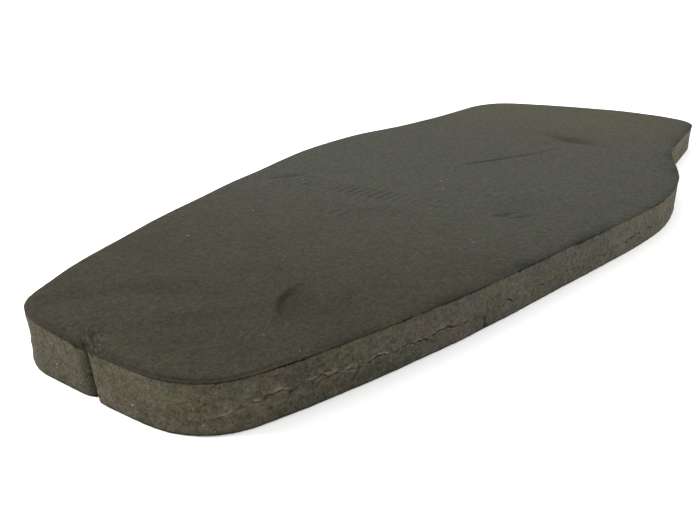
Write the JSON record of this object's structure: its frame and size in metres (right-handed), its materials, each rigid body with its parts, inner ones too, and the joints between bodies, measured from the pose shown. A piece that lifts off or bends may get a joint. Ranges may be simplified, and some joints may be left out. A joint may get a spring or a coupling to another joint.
{
  "type": "back protector",
  "caption": "Flat, tapering foam pad with rounded corners and a short slit in the narrow end; slides into a jacket's back pocket to cushion the spine.",
  "frame": {"origin": "middle of the face that lies against the wearer (centre of the bounding box's underside)", "axes": "+Y along the pad from the slit end to the square end, +X across it, +Z away from the wearer"},
  "size_m": [0.185, 0.42, 0.015],
  "materials": {
    "outer_skin": "matt closed foam skin, faintly dimpled",
    "outer_foam": "matt cut foam, granular with small pores",
    "bond_film": "dull glue line, ragged at its edge",
    "inner_foam": "matt cut foam, granular with small pores",
    "inner_skin": "matt closed foam skin, faintly dimpled"
  },
  "bodies": {
    "root": {"outer_skin": "outer_skin", "outer_foam": "outer_foam", "bond_film": "bond_film", "inner_foam": "inner_foam", "inner_skin": "inner_skin"}
  },
  "joints": []
}
